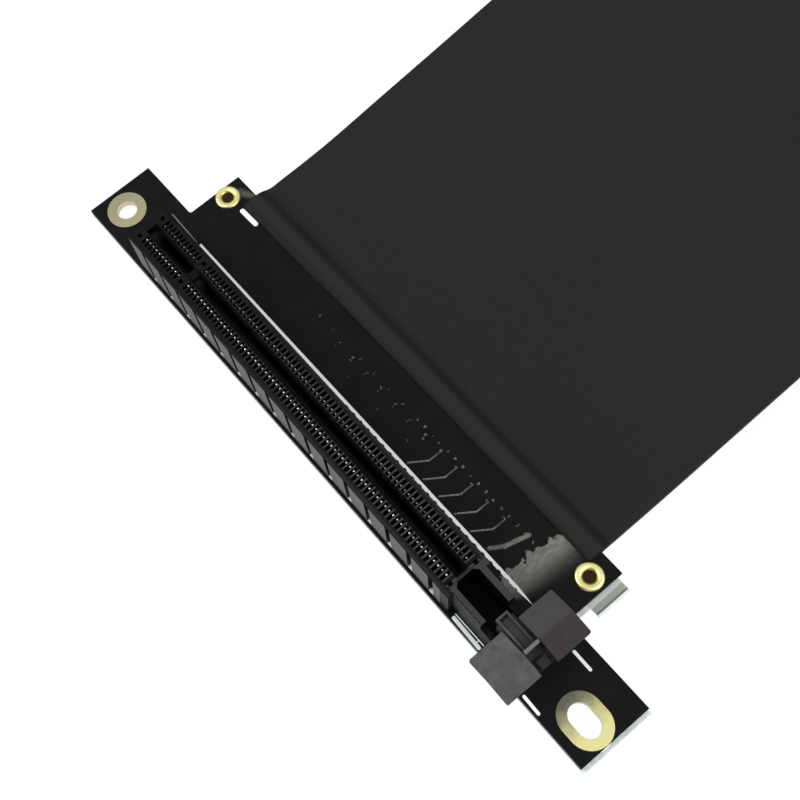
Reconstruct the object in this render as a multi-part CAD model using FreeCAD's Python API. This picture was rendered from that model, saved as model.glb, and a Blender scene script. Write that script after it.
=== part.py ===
import FreeCAD, Part
import math
import os

# A riser cable for a 16-lane card: a card slot on a socket board, a flat ribbon in a
# cloth jacket, and a plug board with a card edge.
# Millimetres. While it is built, X runs along the slot from the key, Y from the slot
# towards the ribbon, and Z up from the socket board's top face. At the end every piece
# moves together, so that the origin is the middle of the footprint on the table.

V = FreeCAD.Vector

# Contacts, the same in the slot and on the card edge
pitch = 1.0
short_row = 11
long_row = 71
key_to_contact = 1.5
tab_margin = 1.1
key_notch = 1.9

# Slot housing
slot_height = 11.25
end_margin = 3.0
panel_half = 4.5
rim_half = 4.35
panel_drop = 0.65
rim_step = 0.15
first_panel = 4.0
groove_width = 1.2
groove_depth = 0.75
groove_pitch = 5.34
groove_count = 16
gap_half = 0.93
lead_in = 0.35
lead_depth = 0.8
gap_floor = 2.0
gap_end_play = 0.25
key_play = 0.125
key_drop = 0.9
window_width = 0.6
window_near = 1.55
window_far = 3.35
window_depth = 2.0
cross_wall = 0.6
corner_gusset = 0.8
blind_hole = 0.8
blind_depth = 1.0
blind_y = 2.7
blind_inset = 1.5

# Latch end of the housing
cheek_near = 2.4
cheek_far = 3.5
ear_length = 6.5
cheek_length = 12.5
cheek_drop = 3.25
cheek_floor = 1.2

# Contact springs
spring_width = 0.5
spring_thick = 0.25
foot_y = 2.75
bow_y = 0.9
bow_drop = 4.85
tip_y = 2.12
tip_drop = 0.3

# Latch
pivot_from_body = 10.0
pivot_z = 5.0
pin_radius = 0.85
pin_play = 0.05
pin_end_play = 0.2
web_half = 1.7
web_drop = 0.6
web_back = 7.5
hub_radius = 1.9
trough_half = 1.2
trough_front = 2.7
trough_rise = 0.05
trough_nose = 1.7
trough_wall = 0.4
trough_depth = 0.9
paddle_front = 0.7
paddle_crease = 3.7
paddle_back = 8.1
paddle_half = 8.6
paddle_thick = 1.1
paddle_rise = 0.35
crease_rise = 1.35
back_rise = 0.7
paddle_corner = 0.35
rib_length = 0.6
rib_rise = 0.9
rib_half = 1.5
stub_from_pivot = 6.0
stub_length = 1.5
stub_half = 0.9
stub_rise = 0.9

# Socket board
board_thick = 1.6
board_left = -31.8
board_right = 106.4
strip_near = -5.1
strip_far = 9.5
beyond_left_eyelet = 2.4
beyond_right_eyelet = 3.0
wide_far = 21.7
inner_corner = 0.5

# Plated mounting holes
hole_y = 0.5
hole_inset = 5.0
hole_radius = 2.1
land_radius = 4.0
slot_hole_radius = 2.1
slot_land_radius = 3.9
slot_half_run = 1.0
plating = 0.1

# Eyelets
eyelet_y = 17.2
left_eyelet_from_jacket = 3.6
right_eyelet_from_jacket = 1.8
eyelet_bore = 1.2
eyelet_wall = 0.15
eyelet_flange = 2.38
eyelet_shoulder = 2.15
eyelet_crown = 1.8
eyelet_height = 0.45
eyelet_cup = 1.2

# Insulating sheet and tape
sheet_thick = 1.0
sheet_lip_right = 0.8
sheet_setback = 0.8
sheet_clear = 0.4
tape_near = 14.0
tape_far = 21.0
tape_reach = 3.0
tape_thick = 0.15

# Ribbon
cable_length = 200.0
jacket_left = -11.3
jacket_width = 94.7
jacket_wall = 0.25
cable_thick = 0.85
cable_play = 0.03
lap = 2.9
lap_height = 0.75
lap_past_edge = 0.55
lap_slope = 1.2
tongue_inset = 0.3
flat_run = 8.3
bend_radius = 111.0
crest_radius = 331.0
rise_angle = 7.2

# Plug board
plug_margin = 3.0
plug_depth = 12.0
tab_length = 8.25
notch_depth = 7.6
bevel_length = 1.3
bevel_depth = 0.45
finger_width = 0.7
finger_length = 5.6
finger_setback = 1.6
finger_thick = 0.05

before_key = [-key_to_contact - pitch * n for n in range(short_row)]
after_key = [key_to_contact + pitch * n for n in range(long_row)]
contact_places = before_key + after_key
first_contact = min(contact_places)
last_contact = max(contact_places)
body_left = first_contact - end_margin
body_right = last_contact + end_margin
tab_left = first_contact - tab_margin
tab_right = last_contact + tab_margin
gap_left = tab_left - gap_end_play
gap_right = tab_right + gap_end_play
ear_right = body_right + ear_length
cheek_right = body_right + cheek_length
pivot_x = body_right + pivot_from_body
hole_x = board_left + hole_inset
slot_hole_x = board_right - hole_inset
panel_top = slot_height - panel_drop
cheek_top = slot_height - cheek_drop
bow_z = slot_height - bow_drop
tip_z = slot_height - tip_drop
table = -board_thick - sheet_thick
sheet_far = wide_far - lap - sheet_setback
jacket_right = jacket_left + jacket_width
eyelet_left_x = jacket_left - left_eyelet_from_jacket
eyelet_right_x = jacket_right + right_eyelet_from_jacket
wide_left = eyelet_left_x - beyond_left_eyelet
wide_right = eyelet_right_x + beyond_right_eyelet
middle_y = wide_far + cable_length / 2
plug_near = wide_far + cable_length
plug_far = plug_near + plug_depth + tab_length


def box(x0, x1, y0, y1, z0, z1):
    return Part.makeBox(x1 - x0, y1 - y0, z1 - z0, V(x0, y0, z0))


def upright(radius, x, y, z0, z1):
    return Part.makeCylinder(radius, z1 - z0, V(x, y, z0))


def pin_along_y(radius, x, z, y0, y1):
    return Part.makeCylinder(radius, y1 - y0, V(x, y0, z), V(0, 1, 0))


def prism(corners, sweep):
    return Part.Face(Part.makePolygon(corners + corners[:1])).extrude(sweep)


def prism_along_x(outline, x0, x1):
    return prism([V(x0, y, z) for y, z in outline], V(x1 - x0, 0, 0))


def prism_along_y(outline, y0, y1):
    return prism([V(x, y0, z) for x, z in outline], V(0, y1 - y0, 0))


def prism_along_z(outline, z0, z1):
    return prism([V(x, y, z0) for x, y in outline], V(0, 0, z1 - z0))


def obround(x, y, radius, half_run, z0, z1):
    """A disc, or a slot shape whose long way is X."""
    if half_run == 0:
        return upright(radius, x, y, z0, z1)
    left = x - half_run
    right = x + half_run
    edges = [
        Part.LineSegment(V(left, y - radius, z0), V(right, y - radius, z0)),
        Part.Arc(V(right, y - radius, z0), V(right + radius, y, z0), V(right, y + radius, z0)),
        Part.LineSegment(V(right, y + radius, z0), V(left, y + radius, z0)),
        Part.Arc(V(left, y + radius, z0), V(left - radius, y, z0), V(left, y - radius, z0)),
    ]
    wire = Part.Wire([edge.toShape() for edge in edges])
    return Part.Face(wire).extrude(V(0, 0, z1 - z0))


def both_sides(outline, side):
    return [(side * y, z) for y, z in outline]


def slot_housing():
    outline = [
        (panel_half, 0),
        (panel_half, panel_top),
        (rim_half, panel_top + rim_step),
        (rim_half, slot_height),
    ]
    mirrored = [(-y, z) for y, z in reversed(outline)]
    body = prism_along_x(outline + mirrored, body_left, body_right)
    for side in (-1, 1):
        near, far = sorted((side * cheek_near, side * cheek_far))
        body = body.fuse(box(body_right, ear_right, near, far, 0, slot_height))
        body = body.fuse(box(body_right, cheek_right, near, far, 0, cheek_top))
    body = body.fuse(box(body_right, cheek_right, -cheek_far, cheek_far, 0, cheek_floor))
    cuts = side_grooves() + contact_windows() + spring_rooms() + card_gap() + blind_holes()
    cuts.append(latch_well())
    cuts.append(pin_along_y(pin_radius + pin_play, pivot_x, pivot_z, -panel_half, panel_half))
    return body.cut(Part.makeCompound(cuts)).removeSplitter()


def side_grooves():
    grooves = []
    for n in range(groove_count):
        x = body_left + first_panel + groove_pitch * n
        for side in (-1, 1):
            near, far = sorted((side * (panel_half - groove_depth), side * (panel_half + 1)))
            grooves.append(box(x, x + groove_width, near, far, -1, panel_top))
    return grooves


def contact_windows():
    """Openings in the top face, one over each spring."""
    windows = []
    for x in contact_places:
        left = x - window_width / 2
        for side in (-1, 1):
            near, far = sorted((side * window_near, side * window_far))
            low = slot_height - window_depth
            windows.append(box(left, left + window_width, near, far, low, slot_height))
    return windows


def spring_rooms():
    """The rooms under the windows, open to the card gap and to the board."""
    rooms = []
    for row in (before_key, after_key):
        left = min(row) - window_width / 2
        right = max(row) + window_width / 2
        for side in (-1, 1):
            near, far = sorted((side * gap_half, side * window_far))
            rooms.append(box(left, right, near, far, 0, slot_height - window_depth))
    return rooms


def card_gap():
    """The gap for the card edge, with flared lips, in two lengths beside the key rib."""
    shoulder = slot_height - lead_depth
    outline = [
        (gap_half, gap_floor),
        (gap_half, shoulder),
        (gap_half + lead_in, slot_height),
    ]
    mirrored = [(-y, z) for y, z in reversed(outline)]
    key_half = key_notch / 2 - key_play
    lengths = ((gap_left, -key_half), (key_half, gap_right))
    gaps = [prism_along_x(outline + mirrored, x0, x1) for x0, x1 in lengths]
    gaps.append(box(-key_half, key_half, -gap_half, gap_half, slot_height - key_drop, slot_height))
    return gaps


def blind_holes():
    half = blind_hole / 2
    holes = []
    for x in (body_left + blind_inset, 0, body_right - blind_inset):
        for y in (-blind_y, blind_y):
            low = slot_height - blind_depth
            holes.append(box(x - half, x + half, y - half, y + half, low, slot_height))
    return holes


def latch_well():
    """The room between the ears, open towards the latch, with gussets in its corners."""
    start = gap_right + cross_wall
    gusset = start + corner_gusset
    inner = cheek_near - corner_gusset
    outline = [
        (cheek_right, -cheek_near),
        (cheek_right, cheek_near),
        (gusset, cheek_near),
        (start, inner),
        (start, -inner),
        (gusset, -cheek_near),
    ]
    return prism_along_z(outline, cheek_floor, slot_height)


def contact_row(side):
    """Springs that stand on the board, bow into the card gap and end in the windows."""
    half = spring_thick / 2
    outline = [
        (foot_y - half, 0),
        (bow_y - half, bow_z),
        (tip_y - half, tip_z),
        (tip_y + half, tip_z),
        (bow_y + half, bow_z),
        (foot_y + half, 0),
    ]
    springs = []
    for x in contact_places:
        left = x - spring_width / 2
        springs.append(prism_along_x(both_sides(outline, side), left, left + spring_width))
    return Part.makeCompound(springs)


def slot_latch():
    bridge = slot_height - web_drop
    crease_x = pivot_x + paddle_crease
    web = [
        (pivot_x - hub_radius, pivot_z),
        (pivot_x - hub_radius, bridge),
        (pivot_x + web_back, bridge),
        (pivot_x + web_back, bridge - paddle_thick),
        (crease_x, bridge - paddle_thick),
        (pivot_x + hub_radius, pivot_z),
    ]
    latch = prism_along_y(web, -web_half, web_half).fuse(trough())
    latch = latch.fuse(pin_along_y(hub_radius, pivot_x, pivot_z, -web_half, web_half))
    pin_end = cheek_far - pin_end_play
    latch = latch.fuse(pin_along_y(pin_radius, pivot_x, pivot_z, -pin_end, pin_end))
    for side in (-1, 1):
        latch = latch.fuse(paddle(side))
    stub_x = pivot_x + stub_from_pivot
    rib_top = bridge + crease_rise + rib_rise
    latch = latch.fuse(box(crease_x, crease_x + rib_length, -rib_half, rib_half, bridge, rib_top))
    stub_top = bridge + stub_rise
    latch = latch.fuse(box(stub_x, stub_x + stub_length, -stub_half, stub_half, bridge, stub_top))
    return latch.removeSplitter()


def trough():
    """The channel that holds a card's hook, from its nose over the well to the cross rib."""
    top = slot_height + trough_rise
    front = pivot_x - trough_front
    crease = pivot_x + paddle_crease
    outline = [
        (front, top),
        (front, top - trough_nose),
        (pivot_x - hub_radius, top - trough_nose - web_drop),
        (pivot_x - hub_radius, pivot_z),
        (pivot_x, pivot_z),
        (crease, slot_height - web_drop - paddle_thick),
        (crease, top),
    ]
    block = prism_along_y(outline, -trough_half, trough_half)
    inner = trough_half - trough_wall
    return block.cut(box(front + trough_wall, crease, -inner, inner, top - trough_depth, top))


def paddle(side):
    """A finger plate, creased across its middle, with rounded outer corners."""
    front = pivot_x - paddle_front
    crease = pivot_x + paddle_crease
    back = pivot_x + paddle_back
    deck = slot_height
    outline = [
        (front, deck + paddle_rise),
        (crease, deck + crease_rise),
        (back, deck + back_rise),
        (back, deck + back_rise - paddle_thick),
        (crease, deck + crease_rise - paddle_thick),
        (front, deck + paddle_rise - paddle_thick),
    ]
    near, far = sorted((side * web_half, side * paddle_half))
    plate = prism_along_y(outline, near, far)
    tall = box(front, back, near, far, 0, 2 * slot_height)
    outer = []
    for edge in tall.Edges:
        start, end = edge.Vertexes[0], edge.Vertexes[-1]
        upright_edge = abs(start.Z - end.Z) > slot_height
        if upright_edge and abs(start.Y - side * paddle_half) < paddle_corner:
            outer.append(edge)
    return plate.common(tall.makeFillet(paddle_corner, outer))


def board_outline(left, right, near, step, inner_left, inner_right, far):
    return [
        (left, near),
        (right, near),
        (right, step),
        (inner_right, step),
        (inner_right, far),
        (inner_left, far),
        (inner_left, step),
        (left, step),
    ]


def socket_board():
    outline = board_outline(
        board_left, board_right, strip_near, strip_far, wide_left, wide_right, wide_far
    )
    board = prism_along_z(outline, -board_thick, 0)
    inner = []
    for edge in board.Edges:
        start, end = edge.Vertexes[0], edge.Vertexes[-1]
        on_step = abs(start.Y - strip_far) + abs(end.Y - strip_far) < 0.01
        inside = wide_left - 0.01 < start.X < wide_right + 0.01
        if on_step and inside and abs(start.X - end.X) < 0.01:
            inner.append(edge)
    shoulder = min(board_right - wide_right, wide_left - board_left)
    board = board.makeFillet(min(inner_corner, 0.8 * shoulder), inner)
    low, high = -board_thick - 1, 1
    barrel = hole_radius + plating
    cuts = [upright(barrel, hole_x, hole_y, low, high)]
    barrel = slot_hole_radius + plating
    cuts.append(obround(slot_hole_x, hole_y, barrel, slot_half_run, low, high))
    for x in (eyelet_left_x, eyelet_right_x):
        cuts.append(upright(eyelet_bore + eyelet_wall, x, eyelet_y, low, high))
    return board.cut(Part.makeCompound(cuts))


def plated_land(x, radius, bore, half_run):
    """A ring on each face of the board and the barrel that joins them."""
    low = -board_thick - plating
    land = obround(x, hole_y, radius, half_run, 0, plating)
    land = land.fuse(obround(x, hole_y, radius, half_run, low, -board_thick))
    land = land.fuse(obround(x, hole_y, bore + plating, half_run, low, plating))
    return land.cut(obround(x, hole_y, bore, half_run, low, plating)).removeSplitter()


def eyelet(x):
    """A closed cup pressed into the board, with a rolled flange on top."""
    barrel = eyelet_bore + eyelet_wall
    outline = [
        (0, -board_thick),
        (barrel, -board_thick),
        (barrel, 0),
        (eyelet_flange, 0),
        (eyelet_shoulder, eyelet_height * 0.8),
        (eyelet_crown, eyelet_height),
        (eyelet_bore, 0),
        (eyelet_bore, -eyelet_cup),
        (0, -eyelet_cup),
    ]
    corners = [V(x + r, eyelet_y, z) for r, z in outline]
    face = Part.Face(Part.makePolygon(corners + corners[:1]))
    return face.revolve(V(x, eyelet_y, 0), V(0, 0, 1), 360)


def insulating_sheet():
    outline = board_outline(
        board_left, board_right + sheet_lip_right, strip_near, strip_far,
        wide_left, wide_right + sheet_lip_right, sheet_far
    )
    sheet = prism_along_z(outline, table, -board_thick)
    low, high = table - 1, 0
    cuts = [upright(land_radius + sheet_clear, hole_x, hole_y, low, high)]
    radius = slot_land_radius + sheet_clear
    cuts.append(obround(slot_hole_x, hole_y, radius, slot_half_run, low, high))
    return sheet.cut(Part.makeCompound(cuts))


def clear_tape_tab():
    low = -board_thick
    return box(wide_right, wide_right + tape_reach, tape_near, tape_far, low, low + tape_thick)


def hump_points(height):
    """Line ends and arc middles of the ribbon's run, at this height above its underside."""
    angle = math.radians(rise_angle)
    start = wide_far + flat_run
    span = middle_y - start
    straight = (span - (bend_radius + crest_radius) * math.sin(angle)) / math.cos(angle)

    def on_bend(turn):
        radius = bend_radius - height
        y = start + radius * math.sin(turn)
        return y, table + bend_radius - radius * math.cos(turn)

    line_y = start + bend_radius * math.sin(angle) + straight * math.cos(angle)
    line_z = table + bend_radius * (1 - math.cos(angle)) + straight * math.sin(angle)
    crest_z = line_z - crest_radius * math.cos(angle)

    def on_crest(turn):
        radius = crest_radius + height
        return line_y + crest_radius * math.sin(angle) - radius * math.sin(turn), (
            crest_z + radius * math.cos(turn)
        )

    return [on_bend(0), on_bend(angle / 2), on_bend(angle), on_crest(angle), on_crest(0)]


def run_edges(height):
    """The humped run of the ribbon from its first bend to its last, as edges."""
    half = [V(0, y, z) for y, z in hump_points(height)]
    bend, bend_mid, bend_end, crest_start, crest = half
    mirrored = [V(0, 2 * middle_y - point.y, point.z) for point in half]
    return [
        Part.Arc(bend, bend_mid, bend_end),
        Part.LineSegment(bend_end, crest_start),
        Part.Arc(crest_start, crest, mirrored[3]),
        Part.LineSegment(mirrored[3], mirrored[2]),
        Part.Arc(mirrored[2], mirrored[1], mirrored[0]),
    ]


def ribbon_layer(low, high, near_low, near_high, left, right):
    """A layer of the ribbon between two heights; its ends are outlines at the near board,
    repeated mirrored at the far one."""
    bottom_start = V(0, wide_far + flat_run, table + low)
    top_start = V(0, bottom_start.y, table + high)
    near = [top_start] + [V(0, y, z) for y, z in near_high + near_low] + [bottom_start]
    far = [V(0, 2 * middle_y - point.y, point.z) for point in reversed(near)]
    edges = [edge.toShape() for edge in run_edges(low) + run_edges(high)]
    edges += Part.makePolygon(near).Edges + Part.makePolygon(far).Edges
    layer = Part.Face(Part.Wire(Part.__sortEdges__(edges))).extrude(V(right - left, 0, 0))
    layer.translate(V(left, 0, 0))
    return layer


def lower_heights():
    low = jacket_wall + cable_play
    return low, low + cable_thick


def upper_heights():
    low = lower_heights()[1] + cable_play
    return low, low + cable_thick


def lap_outline(clear):
    """The hump of the jacket or cable over a board's edge, as a top line going inwards."""
    top = table + upper_heights()[1] + jacket_wall + cable_play - clear
    edge = wide_far + lap_past_edge
    return [(edge + lap_slope, top), (edge, lap_height - clear), (wide_far - lap, lap_height - clear)]


def cable_side(clear):
    return jacket_left + clear, jacket_right - clear


def cable_wrap():
    full_height = upper_heights()[1] + cable_play + jacket_wall
    floor = [(wide_far - lap, table)]
    sleeve = ribbon_layer(0, full_height, floor, lap_outline(0), jacket_left, jacket_right)
    left, right = cable_side(jacket_wall)
    inner_lap = [(max(y, wide_far - lap + jacket_wall), z) for y, z in lap_outline(jacket_wall)]
    inner_floor = [(wide_far - lap + jacket_wall, table + jacket_wall)]
    inner = ribbon_layer(
        jacket_wall, full_height - jacket_wall, inner_floor, inner_lap, left, right
    )
    sleeve = sleeve.cut(inner)
    low = -board_thick
    sleeve = sleeve.cut(box(board_left, board_right, 0, wide_far, low, 0))
    return sleeve.cut(box(board_left, board_right, plug_near, plug_far, low, 0))


def ribbon_cable_upper():
    low, high = upper_heights()
    left, right = cable_side(jacket_wall + cable_play)
    start = wide_far - lap + tongue_inset
    clear = jacket_wall + cable_play
    over = [(max(y, start), z) for y, z in lap_outline(clear)]
    under = [(start, 0), (wide_far + cable_play, 0), (wide_far + cable_play, table + low)]
    return ribbon_layer(low, high, under, over, left, right)


def ribbon_cable_lower():
    low, high = lower_heights()
    left, right = cable_side(jacket_wall + cable_play)
    start = wide_far - lap + tongue_inset
    edge = wide_far + cable_play
    over = [(edge, table + high), (edge, -board_thick), (start, -board_thick)]
    under = [(start, table + low)]
    return ribbon_layer(low, high, under, over, left, right)


def plug_board():
    left = jacket_left - plug_margin
    right = jacket_right + plug_margin
    shoulder = plug_near + plug_depth
    board = box(left, right, plug_near, shoulder, -board_thick, 0)
    board = board.fuse(box(tab_left, tab_right, shoulder, plug_far, -board_thick, 0))
    half = key_notch / 2
    notch = box(-half, half, plug_far - notch_depth, plug_far, -board_thick, 0)
    board = board.cut(notch)
    middle = -board_thick / 2
    for side in (-1, 1):
        face = middle + side * board_thick / 2
        bevel = [
            (plug_far, face - side * bevel_depth),
            (plug_far, face),
            (plug_far - bevel_length, face),
        ]
        board = board.cut(prism_along_x(bevel, tab_left, tab_right))
    return board.removeSplitter()


def finger_row(low):
    end = plug_far - finger_setback
    fingers = []
    for x in contact_places:
        left = x - finger_width / 2
        right = x + finger_width / 2
        fingers.append(box(left, right, end - finger_length, end, low, low + finger_thick))
    return Part.makeCompound(fingers)


pieces = {
    "socket_board": socket_board(),
    "slot_housing": slot_housing(),
    "contact_row_near": contact_row(-1),
    "contact_row_far": contact_row(1),
    "slot_latch": slot_latch(),
    "round_land": plated_land(hole_x, land_radius, hole_radius, 0),
    "slotted_land": plated_land(slot_hole_x, slot_land_radius, slot_hole_radius, slot_half_run),
    "eyelet_left": eyelet(eyelet_left_x),
    "eyelet_right": eyelet(eyelet_right_x),
    "insulating_sheet": insulating_sheet(),
    "clear_tape_tab": clear_tape_tab(),
    "ribbon_cable_upper": ribbon_cable_upper(),
    "ribbon_cable_lower": ribbon_cable_lower(),
    "cable_wrap": cable_wrap(),
    "plug_board": plug_board(),
    "finger_row_upper": finger_row(0),
    "finger_row_lower": finger_row(-board_thick - finger_thick),
}

footprint_x = (board_left + board_right + sheet_lip_right) / 2
footprint_y = (plug_far - paddle_half) / 2
os.makedirs("parts", exist_ok=True)
for name, shape in pieces.items():
    shape.translate(V(-footprint_x, -footprint_y, -table))
    shape.exportStep(os.path.join("parts", name + ".step"))
    print(name, len(shape.Solids), "solids", round(shape.Volume, 2), shape.isValid())
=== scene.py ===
import math
import bpy
from mathutils import Euler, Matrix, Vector


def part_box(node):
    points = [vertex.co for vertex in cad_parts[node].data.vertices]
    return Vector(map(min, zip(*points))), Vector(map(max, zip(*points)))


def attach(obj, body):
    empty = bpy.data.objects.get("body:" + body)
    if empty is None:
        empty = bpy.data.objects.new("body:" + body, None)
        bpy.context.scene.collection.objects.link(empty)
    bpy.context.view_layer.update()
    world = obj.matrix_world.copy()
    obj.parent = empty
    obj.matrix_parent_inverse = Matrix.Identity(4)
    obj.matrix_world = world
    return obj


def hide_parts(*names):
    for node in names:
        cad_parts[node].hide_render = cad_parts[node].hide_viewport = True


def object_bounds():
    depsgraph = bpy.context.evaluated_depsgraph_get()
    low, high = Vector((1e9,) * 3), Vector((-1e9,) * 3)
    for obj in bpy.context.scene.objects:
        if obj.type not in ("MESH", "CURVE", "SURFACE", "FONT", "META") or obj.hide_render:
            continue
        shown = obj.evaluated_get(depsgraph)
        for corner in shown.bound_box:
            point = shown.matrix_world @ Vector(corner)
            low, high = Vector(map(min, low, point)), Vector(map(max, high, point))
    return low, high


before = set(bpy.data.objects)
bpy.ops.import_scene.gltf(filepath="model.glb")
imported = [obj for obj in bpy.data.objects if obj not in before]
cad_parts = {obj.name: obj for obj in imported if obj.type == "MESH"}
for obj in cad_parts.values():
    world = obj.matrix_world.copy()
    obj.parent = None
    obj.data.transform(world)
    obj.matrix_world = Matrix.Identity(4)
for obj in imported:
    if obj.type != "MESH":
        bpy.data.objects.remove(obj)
cad_low, cad_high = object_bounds()

# Lengths are written in millimetres, in the slot's own frame: X from the key rib towards
# the latch, Y towards the ribbon, Z up from the socket board's top face.
MM = 0.001
KEY_TO_BOARD_END = 31.8
SLOT_TO_BOARD_EDGE = 5.1
board_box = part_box("socket_board")
ORIGIN = Vector((
    board_box[0][0] + KEY_TO_BOARD_END * MM,
    board_box[0][1] + SLOT_TO_BOARD_EDGE * MM,
    board_box[1][2],
))


def at(x, y, z=0.0):
    return ORIGIN + Vector((x, y, z)) * MM


def corners(node):
    """The lowest and highest corners of a CAD node, in the slot's millimetres."""
    return [(Vector(corner) - ORIGIN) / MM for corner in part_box(node)]


# The photograph's camera
CAMERA_PLACE = (101.97, -29.08, 190.43)
CAMERA_TURN = (21.667, 7.395, 51.247)
FOCAL_LENGTH = 50.84
SENSOR_WIDTH = 36.0
SHIFT_X = 0.138

# Light and floor
WORLD_LEVEL = 0.72
FLOOR_WIDTH = 3.0
FLOOR_GLOW = 0.94

# A bar below is a start, an end and half a width. Any other pair is the start and the end of
# a band, or of a change of finish, along one axis.

# White print on the socket board
OUTLINE_BAR = ((-10.3, 6.62), (82.6, 6.92), 0.32)
OUTLINE_POINT = 3.6
SCALLOP_PITCH = 2.0
SCALLOP_FIRST = 34.92
SCALLOP_DROP = 0.82
SCALLOP_RADIUS = 0.68
SHORT_BARS = (
    ((-10.5, 17.5), (-6.4, 17.6), 0.5),
    ((-13.0, -4.12), (73.8, -4.12), 0.36),
    ((75.9, -4.42), (82.2, -4.6), 0.34),
    ((75.6, -3.78), (82.4, -3.75), 0.1),
    ((81.3, -3.8), (81.3, -4.3), 0.12),
    ((92.6, -4.3), (96.0, -4.4), 0.28),
    ((92.5, 6.75), (96.2, 6.7), 0.28),
)
PRINT_DEPTH = (-0.3, -0.1)

# Tracks and plated through holes that show under the board's lacquer
FAINT_LINE = ((-19.6, 6.7), (-11.1, 6.5), 0.09)
TRACK_PITCH = 4.1
TRACK_FIRST = 50.3
TRACK_LAST = 70.5
TRACK_LEAD = 0.6
TRACK_START = (0.0, 7.7)
TRACK_BEND = (2.15, 10.75)
TRACK_END = (2.2, 13.4)
TRACK_HALF = 0.14
TRACK_FADE = (10.4, 12.6)
HOLE_ROWS = (
    # a hole's X, the row's Y, pitch, first and last X, and how plainly they show
    (53.2, 14.35, 1.985, 44.0, 75.5, 1.0),
    (53.2, 14.35, 3.97, 15.0, 44.0, 0.5),
    (52.45, 13.45, 4.03, 23.0, 70.0, 0.8),
    (48.6, 12.65, 4.05, 23.0, 50.0, 0.5),
    (47.0, 10.2, 8.2, 28.0, 50.0, 0.4),
    (75.6, 6.2, 2.1, 75.0, 78.4, 1.0),
)
HOLE_RING = 0.2
HOLE_WALL = 0.08

# Glue that has been wiped over the board beside the latch
GLUE = ((79.0, 8.6), (80.0, 17.6), 3.4)
GLUE_TRAIL = (((70.9, 8.0), (72.3, 10.2), 0.3), ((72.3, 10.2), (73.5, 14.6), 0.4))
# A film at the board's edge by the left eyelet, painted pale as a glare
EDGE_FILM_GLARE = ((-14.3, 19.8), (-12.0, 21.0), 0.75)
GLUE_WANDER = 4.6
GLUE_CALMER = (79.0, 81.5)
GLUE_SOFTER = (79.0, 82.0)
GLUE_THINNER = (81.5, 85.0)
GLUE_SHADE = (77.6, 81.6)

# Springs, and the slot's moulding
CONTACT_PLACE = 0.5
CONTACT_PITCH = 1.0
SPRING_MIDDLE = (0.06, 0.16)
SPRING_TIP = (10.7, 10.95)
RIB_HIGHLIGHT_SIDES = (0.33, 0.43)
WINDOW_ROW = (1.2, 3.6)
SLOT_RIM = (3.5, 4.3)
SLOT_TOP = (10.5, 11.2)
SHEEN_RUN = (-5.0, 60.0)
GAP_SIDES = (0.98, 1.02)
GAP_LEAD_IN = (8.0, 9.8)
GAP_END = (72.0, 72.2)
PANEL_FACE = (4.4, 4.46)
PANEL_TOP = (10.3, 10.65)
PANEL_END = (72.4, 72.6)
EAR_START = (72.9, 73.6)
EAR_TOP = (11.1, 11.2)
EAR_SIDE = (-3.5, -3.1)

# The latch: its paddles, painted lit near and shaded far, painted shade on its foot and on the web behind
# its cross rib, and a painted highlight on that rib's top
FAR_TO_NEAR = (1.6, -1.6)
PADDLE_CREASE = (88.0, 88.8)
PADDLE_SHADED_FOOT = (10.0, 11.7)
WEB_SIDES = (1.5, 1.6)
WEB_START = (89.7, 90.1)
CROSS_RIB_TOP = (12.75, 12.85)

# The mounting holes' lands, the clear film, and the pitch of the flat cables' wires
LAND_FACE = (-0.2, 0.0)
FILM_MIDDLE = (89.0, 90.8)
FILM_SHADOW = (90.2, 90.5)
FILM_THICK = 0.06
ROLL_RADIUS = 0.22
ROLL_FROM_END = 0.5
ROLL_STEPS = 8
ROLL_TURN = math.radians(200)
WIRE_PITCH = 0.635

# Run of the cloth jacket
JACKET_THICK = 2.29
LAP_HEIGHT = 0.75
LAP_FRONT_SLANT = 0.65
LAP_SLANT_END = 45.0
LAP_CORNER = 0.7
STEP_START = 21.9
STEP_END = 25.6
STEP_DIP = 0.12
DIP_END = 29.0
BEND_START = 30.0
BEND_RADIUS = 111.0
CREST_RADIUS = 331.0
RISE_ANGLE = math.radians(7.2)
WAVE_HEIGHT = 0.07
WAVE_ACROSS = 0.21
WAVE_LEAN = 0.05
WAVE_ALONG = 0.16
WAVE_START = 26.0
WAVE_FULL = 40.0
EDGE_ROUND = 0.5
FRONT_ROUND = 0.7
THINNEST_FRONT = 0.15
THINNEST_PRONG = 0.3
THINNEST_SIDE = 0.25
BOARD_CLEARANCE = 0.02
PRONGS_MEET = 3.0
RIB_PITCH = 0.5
PRONG_CUTS = 14
BODY_CUTS = 215
BODY_CROWDING = 0.85
WIDTH_CUTS = 56
WIDTH_CROWDING = 0.9

# Eyelets: the rolled flange, as steps inwards and upwards from its outer edge
EYELET_RADIUS = 2.6
EYELET_SIDES = 40
EYELET_FOOT = 0.12
EYELET_STEPS = ((0.22, 0.26), (0.38, 0.14), (0.55, -0.12), (0.5, -0.4))
EYELET_BORE_DEPTH = 0.9
# Heights where the flange's painted highlight begins, and where the bore's painted shade gives way to
# brass
EYELET_CROWN = (0.3, 0.5)
EYELET_MOUTH = (0.05, 0.2)

# Modelling
MOSTLY_ALONG = 0.9
FACE_PLACE = 0.01 * MM
SAME_POINT = 0.001 * MM
SMOOTH_ANGLE = math.radians(40)
ROUNDING_LEVELS = 2

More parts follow.
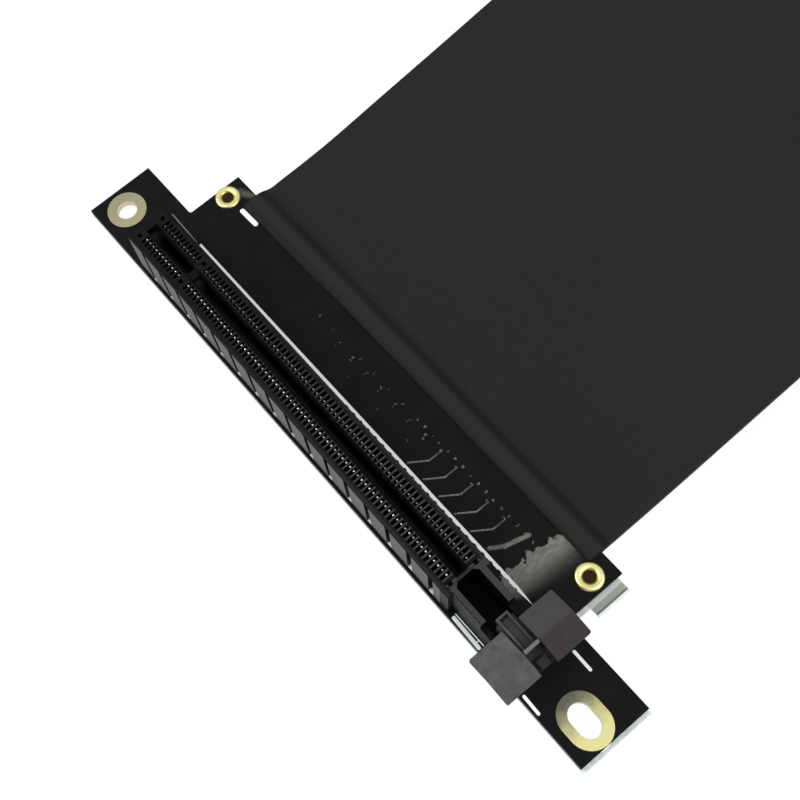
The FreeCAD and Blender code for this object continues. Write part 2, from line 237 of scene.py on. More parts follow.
camera_data = bpy.data.cameras.new("camera")
camera_data.lens = FOCAL_LENGTH
camera_data.sensor_width = SENSOR_WIDTH
camera_data.shift_x = SHIFT_X
camera_data.clip_start = 0.01
camera = bpy.data.objects.new("camera", camera_data)
camera.location = at(*CAMERA_PLACE)
camera.rotation_euler = Euler([math.radians(angle) for angle in CAMERA_TURN])
bpy.context.collection.objects.link(camera)
bpy.context.scene.camera = camera
bpy.context.scene.view_settings.view_transform = "Standard"


class Signal:
    """A socket that carries a value, so that shader maths can be written as sums."""

    def __init__(self, finish, socket):
        self.finish = finish
        self.socket = socket

    def calculate(self, operation, *values):
        made = self.finish.add("ShaderNodeMath", {"operation": operation}, dict(enumerate(values)))
        return Signal(self.finish, made.outputs[0])

    def __add__(self, other):
        return self.calculate("ADD", self, other)

    def __sub__(self, other):
        return self.calculate("SUBTRACT", self, other)

    def __rsub__(self, other):
        return self.calculate("SUBTRACT", other, self)

    def __mul__(self, other):
        return self.calculate("MULTIPLY", self, other)

    def __truediv__(self, other):
        return self.calculate("DIVIDE", self, other)

    def __mod__(self, other):
        return self.calculate("MODULO", self, other)

    def __pow__(self, other):
        return self.calculate("POWER", self, other)

    def __abs__(self):
        return self.calculate("ABSOLUTE", self)

    def least(self, other):
        return self.calculate("MINIMUM", self, other)

    def most(self, other):
        return self.calculate("MAXIMUM", self, other)

    def sine(self):
        return self.calculate("SINE", self)

    def from_nearest(self, place, pitch):
        """How far the value is from the nearest of many places, a pitch apart."""
        return self.calculate("PINGPONG", self - place, pitch / 2)

    __radd__ = __add__
    __rmul__ = __mul__


def strongest(signals):
    first, *others = signals
    for other in others:
        first = first.most(other)
    return first


class Finish:
    """A material made of nodes around one Principled shader."""

    def __init__(self, name, **constants):
        self.material = bpy.data.materials.new(name)
        self.material.use_nodes = True
        self.nodes = self.material.node_tree.nodes
        self.links = self.material.node_tree.links
        self.shader = self.nodes["Principled BSDF"]
        self.set(self.shader, constants)
        self.coordinates = self.nodes.new("ShaderNodeTexCoord").outputs["Object"]

    def set(self, node, values):
        for name, value in values.items():
            if isinstance(name, str):
                name = name.replace("_", " ")
            if isinstance(value, Signal):
                self.links.new(value.socket, node.inputs[name])
            elif isinstance(value, bpy.types.NodeSocket):
                self.links.new(value, node.inputs[name])
            else:
                node.inputs[name].default_value = value

    def add(self, kind, settings, values):
        made = self.nodes.new(kind)
        for name, value in settings.items():
            setattr(made, name, value)
        self.set(made, values)
        return made

    def noise(self, per_mm, detail=3.0, stretch=(1, 1, 1)):
        scale = Vector([per_mm * share for share in stretch]) / MM
        vector = self.add("ShaderNodeMapping", {}, {"Vector": self.coordinates, "Scale": scale}).outputs[0]
        made = self.add("ShaderNodeTexNoise", {}, {"Vector": vector, "Scale": 1.0, "Detail": detail})
        return Signal(self, made.outputs["Fac"])

    def slot_place(self):
        """X, Y and Z in the slot's millimetres."""
        made = self.add("ShaderNodeSeparateXYZ", {}, {"Vector": self.coordinates})
        return [(Signal(self, made.outputs[n]) - ORIGIN[n]) / MM for n in range(3)]

    def between(self, value, low, high):
        """0 up to low, 1 from high on, and smooth between them."""
        made = self.add(
            "ShaderNodeMapRange",
            {"interpolation_type": "SMOOTHSTEP"},
            {"Value": value, "From Min": low, "From Max": high},
        )
        return Signal(self, made.outputs["Result"])

    def filled(self, deep, soft=0.05):
        """1 inside a shape and 0 outside, from how deep a place is inside it."""
        return self.between(deep, -soft, soft)

    def window(self, value, low, high, soft):
        """1 from low to high, and 0 outside."""
        return self.between(value, low, low + soft) * (1 - self.between(value, high - soft, high))

    def blend(self, factor, first, second):
        made = self.add("ShaderNodeMix", {"data_type": "RGBA"}, {0: factor, 6: first, 7: second})
        return made.outputs[2]

    def clouded(self, cloud, first, second, low=0.3, high=0.7):
        """A colour that wanders between two of them as a noise does."""
        return self.blend(self.between(cloud, low, high), first, second)

    def inside_bar(self, x, y, start, end, half_width):
        """How deep a place is inside a bar with round ends, in millimetres."""
        run = Vector(end) - Vector(start)
        right, up = x - start[0], y - start[1]
        share = (right * run.x + up * run.y) / run.length_squared
        share = share.most(0.0).least(1.0)
        right, up = right - share * run.x, up - share * run.y
        return half_width - (right * right + up * up) ** 0.5

    def bump(self, height, distance, strength, normal=None):
        values = {"Height": height, "Distance": distance * MM, "Strength": strength}
        if normal is not None:
            values["Normal"] = normal
        return self.add("ShaderNodeBump", {}, values).outputs["Normal"]

    def rounded(self, radius):
        return self.add("ShaderNodeBevel", {"samples": 4}, {"Radius": radius * MM}).outputs["Normal"]

    def wear(self, **links):
        self.set(self.shader, links)
        return self.material


def grey(level):
    return (level, level, level, 1.0)


def outline_print(x, y):
    """How deep a place is in the long bar: bitten along its slot side, pointed at its end."""
    start, end, half_width = OUTLINE_BAR
    slope = (end[1] - start[1]) / (end[0] - start[0])
    off_middle = y - start[1] - (x - start[0]) * slope
    half = ((end[0] - x) * (half_width / OUTLINE_POINT)).least(half_width)
    deep = (half - abs(off_middle)).least(x - start[0])
    across = x.from_nearest(SCALLOP_FIRST, SCALLOP_PITCH)
    below = off_middle + SCALLOP_DROP
    bite = (across * across + below * below) ** 0.5 - SCALLOP_RADIUS
    return deep.least(bite.most(SCALLOP_FIRST - SCALLOP_PITCH / 2 - x))


def tracks(finish, x, y):
    """The bent tracks between the slot's pins and the ribbon, one after another."""
    lead_in = TRACK_FIRST - TRACK_LEAD
    along = (x - lead_in) % TRACK_PITCH - TRACK_LEAD
    start = finish.inside_bar(along, y, TRACK_START, TRACK_BEND, TRACK_HALF)
    end = finish.inside_bar(along, y, TRACK_BEND, TRACK_END, TRACK_HALF)
    shown = finish.filled(start.most(end)) * finish.window(x, lead_in, TRACK_LAST, 0.1)
    return shown * (1 - 0.6 * finish.between(y, *TRACK_FADE))


def plated_holes(finish, x, y):
    """Small rings in rows."""
    rows = []
    for place, row, pitch, first, last, plainness in HOLE_ROWS:
        across = x.from_nearest(place, pitch)
        up = y - row
        radius = (across * across + up * up) ** 0.5
        ring = finish.between(HOLE_WALL - abs(radius - HOLE_RING), -0.04, 0.05)
        rows.append(ring * finish.window(x, first, last, 0.2) * plainness)
    return strongest(rows)


def wiped_glue(finish, x, y):
    """How much a place is covered by glue, the glue's colour there, and its streaks; the film by the left
    eyelet is painted pale as a glare.
    """
    wander = (finish.noise(0.55, detail=5.0) - 0.5) * GLUE_WANDER
    ragged = wander * (1 - 0.75 * finish.between(x, *GLUE_CALMER))
    deep = finish.inside_bar(x, y, *GLUE) + ragged
    soft = 0.3 + 2.2 * finish.between(x, *GLUE_SOFTER)
    cover = finish.between(deep / soft, 0.0, 1.0) * (1 - 0.5 * finish.between(x, *GLUE_THINNER))
    for bar in GLUE_TRAIL:
        trail = finish.filled(finish.inside_bar(x, y, *bar) + wander * 0.08, 0.15)
        cover = cover.most(trail * 0.9)
    # The film by the left eyelet, in the glue's colour, painted pale as a glare
    film_glare = finish.between(finish.inside_bar(x, y, *EDGE_FILM_GLARE) + wander * 0.1, -0.5, 0.7)
    cover = cover.most(film_glare * 0.45)

    streaks = finish.noise(1.5, detail=4.0, stretch=(1, 0.35, 1))
    colour = finish.clouded(streaks, (0.09, 0.087, 0.078, 1), (0.15, 0.148, 0.138, 1))
    shade = finish.between(x + (streaks - 0.5) * 2.5, *GLUE_SHADE)
    colour = finish.blend(shade, colour, (0.022, 0.022, 0.021, 1))
    grime = finish.between(wander, 0.7, 1.3) * (1 - shade)
    return cover, finish.blend(grime * 0.6, colour, (0.03, 0.028, 0.02, 1)), streaks


def lacquer(finish):
    """The boards' mottled black."""
    mottle = finish.noise(0.25)
    return finish.clouded(mottle, (0.0015, 0.0016, 0.0018, 1), (0.0028, 0.003, 0.0033, 1), 0.35, 0.7)


def printed_board():
    """Black lacquer over tracks and holes, with painted glints on them, printed white and smeared with
    glue.
    """
    finish = Finish("printed_black_board", Specular_IOR_Level=0.08)
    x, y, z = finish.slot_place()
    fine = finish.noise(6.0, detail=2.0)
    glint = finish.noise(2.6, detail=1.0)

    faint_line = finish.filled(finish.inside_bar(x, y, *FAINT_LINE), 0.06)
    # The tracks and the holes' rings show under the lacquer, with painted glints where the glint noise is
    # high
    glinting_track = tracks(finish, x, y) * (0.5 + 0.5 * finish.between(glint, 0.3, 0.6))
    glinting_rings = plated_holes(finish, x, y) * finish.between(glint, 0.46, 0.6)
    colour = finish.blend(faint_line.most(glinting_track), lacquer(finish), (0.15, 0.155, 0.152, 1))
    colour = finish.blend(glinting_rings, colour, grey(0.17))

    glue, glue_colour, streaks = wiped_glue(finish, x, y)
    colour = finish.blend(glue, colour, glue_colour)

    ink = strongest([outline_print(x, y)] + [finish.inside_bar(x, y, *bar) for bar in SHORT_BARS])
    ink = finish.filled(ink) * finish.between(z, *PRINT_DEPTH)
    white = finish.blend(fine, (0.62, 0.65, 0.65, 1), (0.76, 0.79, 0.79, 1))
    height = glinting_track * 0.4 + ink * 0.4 + glinting_rings * 0.5 + glue * (0.5 + streaks) + 0.1 * fine
    return finish.wear(
        Base_Color=finish.blend(ink, colour, white),
        Roughness=0.34 + 0.1 * fine + 0.25 * ink - 0.1 * glue,
        Normal=finish.bump(height, distance=0.06, strength=0.6, normal=finish.rounded(0.1)),
    )


def plain_board():
    finish = Finish("black_board", Specular_IOR_Level=0.08)
    fine = finish.noise(6.0, detail=2.0)
    return finish.wear(
        Base_Color=lacquer(finish),
        Roughness=0.34 + 0.12 * fine,
        Normal=finish.bump(fine, distance=0.01, strength=0.3, normal=finish.rounded(0.12)),
    )


def slot_plastic():
    """Black moulding: satin on top, with painted highlights on the ribs and a painted sheen on the rim;
    matt on the side panels, which are painted mid grey as lit; greyer on the ears' tops.
    """
    finish = Finish("black_slot_moulding", Specular_IOR_Level=0.06)
    x, y, z = finish.slot_place()
    grain = finish.noise(9.0)
    cloud = finish.noise(0.5)
    colour = finish.clouded(cloud, grey(0.0018), (0.0035, 0.0036, 0.0036, 1))

    # Painted highlights on the ribs between the spring windows and a painted sheen on the rim, both
    # growing along X
    sheen = finish.between(x, *SHEEN_RUN)
    top = finish.between(z, *SLOT_TOP)
    rib_highlight = finish.between(x.from_nearest(CONTACT_PLACE, CONTACT_PITCH), *RIB_HIGHLIGHT_SIDES)
    rib_highlight = rib_highlight * finish.window(abs(y), *WINDOW_ROW, 0.2) * top
    colour = finish.blend(rib_highlight * (0.12 + 0.88 * sheen), colour, (0.034, 0.035, 0.034, 1))
    rim_sheen = finish.between(abs(y), *SLOT_RIM) * top * sheen
    colour = finish.blend(rim_sheen * 0.5, colour, (0.022, 0.024, 0.023, 1))

    gap = (1 - finish.between(abs(y), *GAP_SIDES)) * (1 - finish.between(z, *GAP_LEAD_IN))
    gap = gap * (1 - finish.between(x, *GAP_END))
    colour = finish.blend(gap, colour, (0.05, 0.038, 0.038, 1))
    # The side panels' faces are painted mid grey: painted light on black plastic
    panel_painted_lit = finish.between(abs(y), *PANEL_FACE) * (1 - finish.between(z, *PANEL_TOP))
    panel_painted_lit = panel_painted_lit * (1 - finish.between(x, *PANEL_END))
    colour = finish.blend(panel_painted_lit, colour, finish.blend(cloud, grey(0.086), grey(0.108)))
    ear = finish.between(x, *EAR_START) * finish.between(z, *EAR_TOP) * finish.between(y, *EAR_SIDE)
    return finish.wear(
        Base_Color=finish.blend(ear, colour, (0.026, 0.029, 0.028, 1)),
        Roughness=0.42 + 0.15 * grain + 0.2 * panel_painted_lit,
        Normal=finish.bump(grain, distance=0.02, strength=0.25, normal=finish.rounded(0.1)),
    )


def latch_plastic():
    """Grey moulding with painted light: the near paddle paler as lit, the far one darker as shaded,
    painted shade on the foot and the web behind the cross rib, a painted highlight on that rib's top, and
    dark smudges.
    """
    finish = Finish("grey_latch_moulding", Specular_IOR_Level=0.1)
    x, y, z = finish.slot_place()
    grain = finish.noise(7.0, detail=4.0)
    cloud = finish.noise(0.3, detail=2.0)
    smudge = finish.noise(0.8, detail=4.0)
    # Painted light: the near paddle is painted paler as lit, the far one darker as shaded and darkest
    # behind its crease; the smudges are dirt
    near = finish.clouded(cloud, (0.05, 0.051, 0.052, 1), (0.068, 0.068, 0.069, 1), 0.35, 0.65)
    shade_behind_crease = finish.between(x, *PADDLE_CREASE)
    shaded_far_paddle = finish.blend(shade_behind_crease, (0.036, 0.036, 0.037, 1), (0.025, 0.021, 0.023, 1))
    paddle_light_and_dirt = finish.blend(finish.between(y, *FAR_TO_NEAR), shaded_far_paddle, near)
    paddle_light_and_dirt = finish.blend(finish.between(smudge, 0.5, 0.75) * 0.6, paddle_light_and_dirt, grey(0.03))
    # Painted shade, darkening the latch towards its foot
    colour = finish.blend(finish.between(z, *PADDLE_SHADED_FOOT), grey(0.016), paddle_light_and_dirt)
    # Painted shade in the hollow web behind the cross rib
    web_shade = (1 - finish.between(abs(y), *WEB_SIDES)) * finish.between(x, *WEB_START)
    colour = finish.blend(web_shade, colour, grey(0.012))
    # A painted highlight: the cross rib's top is painted pale grey
    return finish.wear(
        Base_Color=finish.blend(finish.between(z, *CROSS_RIB_TOP), colour, grey(0.1)),
        Roughness=0.5 + 0.2 * grain,
        Normal=finish.bump(grain, distance=0.03, strength=0.25, normal=finish.rounded(0.15)),
    )


def finger_gold():
    """The card edge's plating, clouded and lightly scratched."""
    finish = Finish("gold_plating", Metallic=1.0)
    cloud = finish.noise(0.5)
    scratch = finish.noise(2.0, detail=2.0, stretch=(1, 0.15, 1))
    return finish.wear(
        Base_Color=finish.clouded(cloud, (0.45, 0.38, 0.18, 1), (0.6, 0.52, 0.26, 1), 0.35, 0.65),
        Roughness=0.3 + 0.2 * scratch,
        Normal=finish.bump(scratch, distance=0.01, strength=0.3, normal=finish.rounded(0.05)),
    )


def spring_metal(name, dull, bright):
    """Plated springs, with a painted highlight in the middle of each tip, some brighter than others."""
    finish = Finish(name, Metallic=1.0)
    x, _, z = finish.slot_place()
    scratch = finish.noise(12.0, detail=2.0)
    luck = finish.noise(0.9, detail=2.0, stretch=(1, 0, 0))
    off_middle = x.from_nearest(CONTACT_PLACE, CONTACT_PITCH)
    # A painted highlight in the middle of each tip, brighter on some springs than others
    tip_highlight = (1 - finish.between(off_middle, *SPRING_MIDDLE)) * finish.between(z, *SPRING_TIP)
    tip_highlight_colour = finish.clouded(luck, grey(dull), grey(bright), 0.38, 0.55)
    return finish.wear(
        Base_Color=finish.blend(tip_highlight, grey(0.03), tip_highlight_colour),
        Roughness=0.2 + 0.2 * scratch,
        Normal=finish.rounded(0.08),
    )


def land_gold(name, dark, light, start, end):
    """Gold plating on a mounting hole's land, with a painted reflection that goes from dark to light along
    X, and painted light, pale gold, on its bore's wall.
    """
    finish = Finish(name, Metallic=1.0)
    x, _, z = finish.slot_place()
    cloud = finish.noise(0.5)
    scratch = finish.noise(3.0, detail=2.0, stretch=(1, 0.2, 1))
    # A painted reflection across the land's face, from dark to light along X
    face = finish.blend(finish.between(x + (cloud - 0.5) * 4, start, end), dark, light)
    # Below the face, the bore's wall is painted pale gold: painted light
    return finish.wear(
        Base_Color=finish.blend(finish.between(z, *LAND_FACE), (0.62, 0.6, 0.4, 1), face),
        Roughness=0.38 + 0.2 * scratch,
        Normal=finish.bump(scratch, distance=0.01, strength=0.3, normal=finish.rounded(0.08)),
    )


def eyelet_brass():
    """Brass on the rolled flange, with a painted highlight on its crown and painted shade below it, and
    painted shade in dark brown, not metal, down the bore.
    """
    finish = Finish("eyelet_brass", Specular_IOR_Level=0.1)
    _, _, z = finish.slot_place()
    cloud = finish.noise(1.1)
    bore_mottle = finish.noise(4.0)
    # A painted highlight on the flange's crown, with painted shade below it on the foot and inner slope
    crown_highlight = finish.between(z + cloud * 0.1, *EYELET_CROWN)
    brass = finish.blend(crown_highlight, (0.3, 0.26, 0.07, 1), (0.64, 0.6, 0.27, 1))
    # Painted shade down the bore: a dark brown, not metal
    bore_shade = finish.blend(bore_mottle, (0.008, 0.004, 0.001, 1), (0.02, 0.011, 0.002, 1))
    outside = finish.between(z, *EYELET_MOUTH)
    return finish.wear(
        Base_Color=finish.blend(outside, bore_shade, brass),
        Metallic=outside,
        Roughness=0.3 + 0.1 * cloud,
    )


def pale_sheet():
    finish = Finish("pale_insulating_sheet", Specular_IOR_Level=0.3)
    cloud = finish.noise(0.8)
    return finish.wear(
        Base_Color=finish.clouded(cloud, (0.5, 0.54, 0.54, 1), (0.64, 0.68, 0.68, 1)),
        Roughness=0.5 + 0.2 * cloud,
        Normal=finish.rounded(0.1),
    )


def clear_film():
    """Pale where it lies on the sheet and where it ends, and streaked olive grey between."""
    finish = Finish("clear_film", Coat_Weight=0.5, Coat_Roughness=0.08)
    x, _, _ = finish.slot_place()
    streaks = finish.noise(0.7, detail=2.0, stretch=(1.6, 0.06, 1))
    run = x + (streaks - 0.5) * 0.6
    olive = finish.blend(streaks, (0.14, 0.145, 0.12, 1), (0.34, 0.36, 0.32, 1))
    colour = finish.blend(finish.window(run, *FILM_MIDDLE, 0.3), (0.46, 0.5, 0.49, 1), olive)
    colour = finish.blend(finish.window(run, *FILM_SHADOW, 0.14), colour, (0.05, 0.052, 0.046, 1))
    return finish.wear(
        Base_Color=colour,
        Roughness=0.12 + 0.15 * streaks,
        Normal=finish.bump(streaks, distance=0.06, strength=0.5),
    )


def grey_cable():
    finish = Finish("grey_cable", Specular_IOR_Level=0.3)
    x, _, _ = finish.slot_place()
    cloud = finish.noise(1.0)
    wires = x.from_nearest(0.0, WIRE_PITCH)
    return finish.wear(
        Base_Color=finish.clouded(cloud, grey(0.16), grey(0.24)),
        Roughness=0.45 + 0.1 * cloud,
        Normal=finish.bump(wires, distance=0.3, strength=0.6),
    )


def ribbed_cloth():
    """Fine ribs across the ribbon, a painted highlight on the lap, painted shade in the valley behind it,
    and a bluish selvedge.
    """
    finish = Finish("ribbed_black_cloth", Specular_IOR_Level=0.1)
    x, y, _ = finish.slot_place()
    drift = finish.noise(0.05)
    fuzz = finish.noise(5.0)
    threads = finish.noise(1.0, detail=2.0, stretch=(2.2, 9.0, 1))
    patches = finish.noise(0.03, detail=2.0)
    ribs = ((y + drift * 0.5) * (2 * math.pi / RIB_PITCH)).sine() * 0.5 + 0.5
    tone = ribs * 0.75 + threads * 0.35 + (fuzz - 0.5) * 0.3
    colour = finish.blend(tone, (0.0066, 0.0067, 0.0067, 1), (0.0128, 0.0132, 0.013, 1))
    colour = finish.blend(finish.between(patches, 0.3, 0.7) * 0.3, colour, (0.0086, 0.0092, 0.009, 1))

    low, high = corners("cable_wrap")
    inward = y.least(low.y + high.y - y)
    # A painted highlight on the lap, and painted shade in the valley behind the step
    lap_highlight = finish.window(inward, low.y + 0.5, STEP_START + 0.4, 0.9)
    colour = finish.blend(lap_highlight * 0.35, colour, (0.0165, 0.0172, 0.017, 1))
    valley_shade = finish.window(inward, STEP_START - 0.2, STEP_START + 2.4, 1.1)
    colour = finish.blend(valley_shade * 0.8, colour, (0.003, 0.0032, 0.0032, 1))
    selvedge = finish.between(x, high.x - 0.16, high.x - 0.06)
    selvedge = selvedge * finish.between(inward, STEP_START, STEP_END)
    colour = finish.blend(selvedge, colour, (0.035, 0.031, 0.06, 1))
    lap_end = 1 - finish.between(x, low.x + 0.1, low.x + 0.5)
    lap_end = lap_end * (1 - finish.between(inward, 21.0, 23.0))
    return finish.wear(
        Base_Color=finish.blend(lap_end, colour, (0.0035, 0.003, 0.0028, 1)),
        Roughness=0.62 + 0.2 * fuzz,
        Normal=finish.bump(ribs + 0.3 * fuzz, distance=0.09, strength=0.7),
    )


def dress(material, *nodes):
    for node in nodes:
        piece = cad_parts[node]
        piece.data.materials.clear()
        piece.data.materials.append(material)


def unselect():
    bpy.ops.object.select_all(action="DESELECT")


def new_piece(name):
    """Names the primitive just added, and puts its origin at the frame's."""
    piece = bpy.context.object
    piece.name = name
    bpy.ops.object.transform_apply(location=True, rotation=True, scale=True)
    return piece


def new_block(name, low, high):
    """A box between two corners."""
    unselect()
    middle = (Vector(low) + Vector(high)) / 2
    bpy.ops.mesh.primitive_cube_add(size=1, location=at(*middle))
    bpy.context.object.scale = (Vector(high) - Vector(low)) * MM
    return new_piece(name)


def pick(piece, what, wanted):
    """Leaves only the edges or faces selected that are wanted."""
    mesh = piece.data
    for group in (mesh.vertices, mesh.edges, mesh.polygons):
        for element in group:
            element.select = False
    for element in getattr(mesh, what):
        element.select = wanted(element)


def lies_at(axis, place):
    """A test for the faces whose middle is at a place along an axis."""
    return lambda face: abs(face.center[axis] - place) < FACE_PLACE


def edit(piece, mode):
    unselect()
    piece.select_set(True)
    bpy.context.view_layer.objects.active = piece
    bpy.context.tool_settings.mesh_select_mode = (False, mode == "edges", mode == "polygons")
    bpy.ops.object.mode_set(mode="EDIT")


def close_up(piece, material, slot, body, *nodes):
    """Ends the modelling of a piece: smooth, with outward faces, finish, body and nodes."""
    bpy.ops.mesh.select_all(action="SELECT")
    bpy.ops.mesh.normals_make_consistent(inside=False)
    bpy.ops.object.mode_set(mode="OBJECT")
    bpy.ops.object.shade_smooth_by_angle(angle=SMOOTH_ANGLE)
    piece.data.materials.append(material)
    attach(piece, body)
    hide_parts(*nodes)


def quarter_round(share):
    share = min(max(share, 0.0), 1.0)
    return math.sqrt(1 - (1 - share) ** 2)


def smooth(value, low, high):
    share = min(max((value - low) / (high - low), 0.0), 1.0)
    return share * share * (3 - 2 * share)


def crowded(share, amount):
    """Spreads even steps so that they lie closer at both ends."""
    return share - amount * math.sin(2 * math.pi * share) / (2 * math.pi)


def ribbon_rise(run, half_run):
    """How far the ribbon's underside is above its start, this far past its first bend."""
    bend = BEND_RADIUS * math.sin(RISE_ANGLE)
    crest = CREST_RADIUS * math.sin(RISE_ANGLE)
    bend_rise = BEND_RADIUS * (1 - math.cos(RISE_ANGLE))
    line = half_run - bend - crest
    if run <= 0:
        return 0.0
    if run < bend:
        return BEND_RADIUS - math.sqrt(BEND_RADIUS ** 2 - run ** 2)
    if run < bend + line:
        return bend_rise + (run - bend) * math.tan(RISE_ANGLE)
    top = bend_rise + line * math.tan(RISE_ANGLE) + CREST_RADIUS * (1 - math.cos(RISE_ANGLE))
    return top - CREST_RADIUS + math.sqrt(CREST_RADIUS ** 2 - (half_run - run) ** 2)


def cut_edges(piece, axis, cuts, wanted):
    """Divides the edges that run along an axis and whose middle is wanted."""
    points = [(vertex.co - ORIGIN) / MM for vertex in piece.data.vertices]

    def chosen(edge):
        start, end = points[edge.vertices[0]], points[edge.vertices[1]]
        run = end - start
        return abs(run[axis]) > MOSTLY_ALONG * run.length and wanted((start + end) / 2)

    pick(piece, "edges", chosen)
    edit(piece, "edges")
    bpy.ops.mesh.subdivide(number_cuts=cuts)
    bpy.ops.object.mode_set(mode="OBJECT")


def forked_block():
    """A block from -1 to 1 in three layers, whose outer layers reach to -2 and 2 along Y."""
    piece = new_block("cloth_jacket", (-1, -1, -1), (1, 1, 1))
    cut_edges(piece, 2, 2, lambda middle: True)
    for end in (-1, 1):
        at_end = lies_at(1, at(0, end).y)
        middle_layer = lies_at(2, ORIGIN.z)
        pick(piece, "polygons", lambda face: at_end(face) and not middle_layer(face))
        edit(piece, "polygons")
        bpy.ops.mesh.extrude_region_move(TRANSFORM_OT_translate={"value": (0, end * MM, 0)})
        bpy.ops.object.mode_set(mode="OBJECT")
    cut_edges(piece, 1, BODY_CUTS, lambda middle: abs(middle.y) < 1)
    cut_edges(piece, 1, PRONG_CUTS, lambda middle: abs(middle.y) > 1)
    cut_edges(piece, 0, WIDTH_CUTS, lambda middle: True)
    return piece


def jacket_place(share, low, high, board_low, board_high):
    """Where a point of the forked block lies on the jacket, in the frame's metres."""
    middle_y = (low.y + high.y) / 2
    edge_y = board_high.y + BOARD_CLEARANCE
    x = low.x + (high.x - low.x) * crowded((share.x + 1) / 2, WIDTH_CROWDING)
    if abs(share.y) > 1:
        inward = edge_y - (edge_y - low.y) * math.sin((abs(share.y) - 1) * math.pi / 2)
    else:
        inward = edge_y + 2 * (middle_y - edge_y) * crowded((1 - abs(share.y)) / 2, BODY_CROWDING)
    near = share.y < 0
    from_side = min(x - low.x, high.x - x)
    slant = LAP_FRONT_SLANT * (1 - smooth(x, low.x, LAP_SLANT_END))
    corner = LAP_CORNER * (1 - quarter_round(from_side / LAP_CORNER))
    front = low.y - (slant if near else 0.0) + corner
    inward += (front - low.y) * (1 - smooth(inward, low.y, edge_y))
    y = inward if near else 2 * middle_y - inward

    under = low.z + ribbon_rise(inward - BEND_START, middle_y - BEND_START)
    over = under + JACKET_THICK
    wave = math.sin(x * WAVE_ACROSS + y * WAVE_LEAN) * math.sin(y * WAVE_ALONG)
    over += WAVE_HEIGHT * wave * smooth(inward, WAVE_START, WAVE_FULL)
    over += (LAP_HEIGHT - over) * (1 - smooth(inward, STEP_START, STEP_END))
    over -= STEP_DIP * smooth(inward, STEP_START, STEP_END) * (1 - smooth(inward, STEP_END, DIP_END))

    side = quarter_round(from_side / EDGE_ROUND)
    lip = quarter_round((inward - front) / FRONT_ROUND)
    swell = max(side, THINNEST_PRONG) * max(lip, THINNEST_FRONT)
    board_top, board_under = board_high.z + BOARD_CLEARANCE, board_low.z - BOARD_CLEARANCE
    layer = round(share.z * 3)
    prong = {
        3: board_top + (over - board_top) * swell,
        1: board_top,
        -1: board_under,
        -3: board_under - (board_under - under) * swell,
    }[layer]
    body = (over + under) / 2 + (over - under) / 2 * max(side, THINNEST_SIDE) * layer / 3
    return at(x, y, prong + (body - prong) * smooth(inward, edge_y, edge_y + PRONGS_MEET))


def cloth_jacket():
    """The woven sleeve round the ribbon, lapped over and under both boards' edges."""
    piece = forked_block()
    limits = corners("cable_wrap") + corners("socket_board")
    for vertex in piece.data.vertices:
        vertex.co = jacket_place((vertex.co - ORIGIN) / MM, *limits)
    edit(piece, "polygons")
    close_up(piece, ribbed_cloth(), "black_cloth", "riser", "cable_wrap")


def eyelet_cap(node, material):
    """An eyelet's rolled flange, worked inwards from a disc, and its closed bore."""
    low, high = corners(node)
    middle = (low + high) / 2
    unselect()
    bpy.ops.mesh.primitive_cylinder_add(
        vertices=EYELET_SIDES,
        radius=EYELET_RADIUS * MM,
        depth=EYELET_FOOT * MM,
        location=at(middle.x, middle.y, EYELET_FOOT / 2),
    )
    piece = new_piece(node + "_cap")
    pick(piece, "polygons", lies_at(2, at(0, 0, EYELET_FOOT).z))
    edit(piece, "polygons")
    for inwards, upwards in EYELET_STEPS:
        bpy.ops.mesh.inset(thickness=inwards * MM, depth=upwards * MM)
    down = (0, 0, -EYELET_BORE_DEPTH * MM)
    bpy.ops.mesh.extrude_region_move(TRANSFORM_OT_translate={"value": down})
    bpy.ops.object.mode_set(mode="OBJECT")
    rounding = piece.modifiers.new("rounding", "SUBSURF")
    rounding.levels = rounding.render_levels = ROUNDING_LEVELS
    bpy.ops.object.modifier_apply(modifier=rounding.name)
    edit(piece, "polygons")
    close_up(piece, material, "eyelet_brass", "riser", node)


def film_tab():
    """The end of the clear film, rolled up along its outer edge."""
    low, high = corners("clear_tape_tab")
    roll_x, top = high.x - ROLL_FROM_END, low.z + FILM_THICK
    piece = new_block("film_tab", low, (roll_x, high.y, top))
    pick(piece, "polygons", lies_at(0, at(roll_x, 0).x))
    edit(piece, "polygons")
    centre = at(roll_x, (low.y + high.y) / 2, top + ROLL_RADIUS)
    bpy.ops.mesh.spin(steps=ROLL_STEPS, angle=ROLL_TURN, center=centre, axis=(0, 1, 0))
    bpy.ops.mesh.select_all(action="SELECT")
    bpy.ops.mesh.remove_doubles(threshold=SAME_POINT)
    close_up(piece, clear_film(), "clear_film", "riser", "clear_tape_tab")


dress(printed_board(), "socket_board")
dress(plain_board(), "plug_board")
dress(slot_plastic(), "slot_housing")
dress(latch_plastic(), "slot_latch")
# The near row's tips get bright painted highlights and the far row's dim ones: lit and shaded copies of
# one plating
dress(spring_metal("near_springs_painted_bright", dull=0.35, bright=0.85), "contact_row_near")
dress(spring_metal("far_springs_painted_dim", dull=0.05, bright=0.3), "contact_row_far")
dress(finger_gold(), "finger_row_upper", "finger_row_lower")
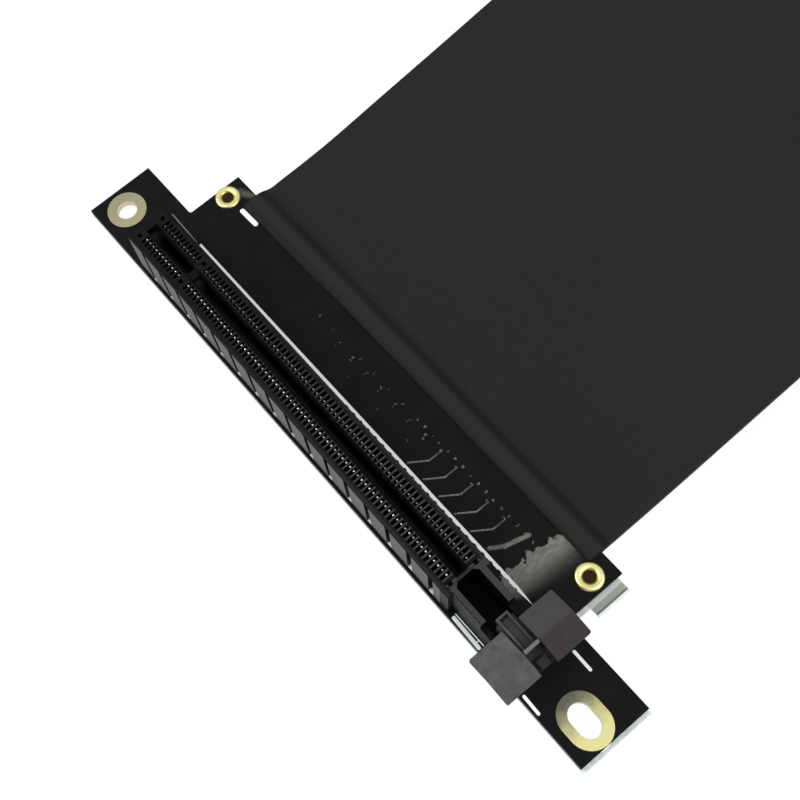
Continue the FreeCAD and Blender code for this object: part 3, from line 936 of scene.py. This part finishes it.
# Copies of one gold plating: a dim painted reflection on the round land and a bright one on the slotted
# land
gold_with_dim_painted_reflection = land_gold("gold_with_dim_painted_reflection", (0.25, 0.235, 0.155, 1), (0.29, 0.275, 0.17, 1), start=-30, end=-24)
gold_with_bright_painted_reflection = land_gold("gold_with_bright_painted_reflection", (0.1, 0.1, 0.075, 1), (0.5, 0.475, 0.22, 1), start=97, end=104)
dress(gold_with_dim_painted_reflection, "round_land")
dress(gold_with_bright_painted_reflection, "slotted_land")
dress(pale_sheet(), "insulating_sheet")
dress(grey_cable(), "ribbon_cable_upper", "ribbon_cable_lower")
brass = eyelet_brass()
eyelet_cap("eyelet_left", brass)
eyelet_cap("eyelet_right", brass)
cloth_jacket()
film_tab()


def shows_background(nodes, links):
    """A value that is 1 for the rays that carry the background's white."""
    path = nodes.new("ShaderNodeLightPath")
    value = path.outputs["Is Camera Ray"]
    for name in ("Is Glossy Ray", "Is Transmission Ray"):
        most = nodes.new("ShaderNodeMath")
        most.operation = "MAXIMUM"
        links.new(value, most.inputs[0])
        links.new(path.outputs[name], most.inputs[1])
        value = most.outputs[0]
    return value


def studio():
    world = bpy.data.worlds.new("studio")
    world.use_nodes = True
    bpy.context.scene.world = world
    nodes, links = world.node_tree.nodes, world.node_tree.links
    nodes["Background"].inputs["Color"].default_value = grey(WORLD_LEVEL)
    bright = nodes.new("ShaderNodeBackground")
    bright.inputs["Color"].default_value = grey(1.0)
    mix = nodes.new("ShaderNodeMixShader")
    links.new(shows_background(nodes, links), mix.inputs["Fac"])
    links.new(nodes["Background"].outputs[0], mix.inputs[1])
    links.new(bright.outputs[0], mix.inputs[2])
    links.new(mix.outputs[0], nodes["World Output"].inputs["Surface"])


def floor():
    unselect()
    bpy.ops.mesh.primitive_plane_add(size=FLOOR_WIDTH, location=(0, 0, cad_low[2]))
    piece = bpy.context.object
    piece.name = "floor"
    finish = Finish("pale_floor", Specular_IOR_Level=0.0)
    cloud = finish.noise(0.01)
    finish.wear(Base_Color=finish.blend(cloud, grey(0.86), grey(0.9)), Roughness=0.9)
    glow = finish.add("ShaderNodeEmission", {}, {"Color": grey(1.0), "Strength": 1.0})
    seen = Signal(finish, shows_background(finish.nodes, finish.links))
    layers = {0: seen * FLOOR_GLOW, 1: finish.shader.outputs[0], 2: glow.outputs[0]}
    mix = finish.add("ShaderNodeMixShader", {}, layers)
    finish.links.new(mix.outputs[0], finish.nodes["Material Output"].inputs["Surface"])
    piece.data.materials.append(finish.material)


def lamp(name, place, target, width, watts):
    data = bpy.data.lights.new(name, "AREA")
    data.size = width * MM
    data.energy = watts
    piece = bpy.data.objects.new(name, data)
    piece.location = at(*place)
    piece.rotation_euler = (at(*target) - at(*place)).to_track_quat("-Z", "Y").to_euler()
    bpy.context.collection.objects.link(piece)


studio()
floor()
lamp("key", place=(-250, -350, 500), target=(30, 30, 0), width=500, watts=3.8)
lamp("fill", place=(450, 200, 450), target=(30, 30, 0), width=400, watts=2.5)
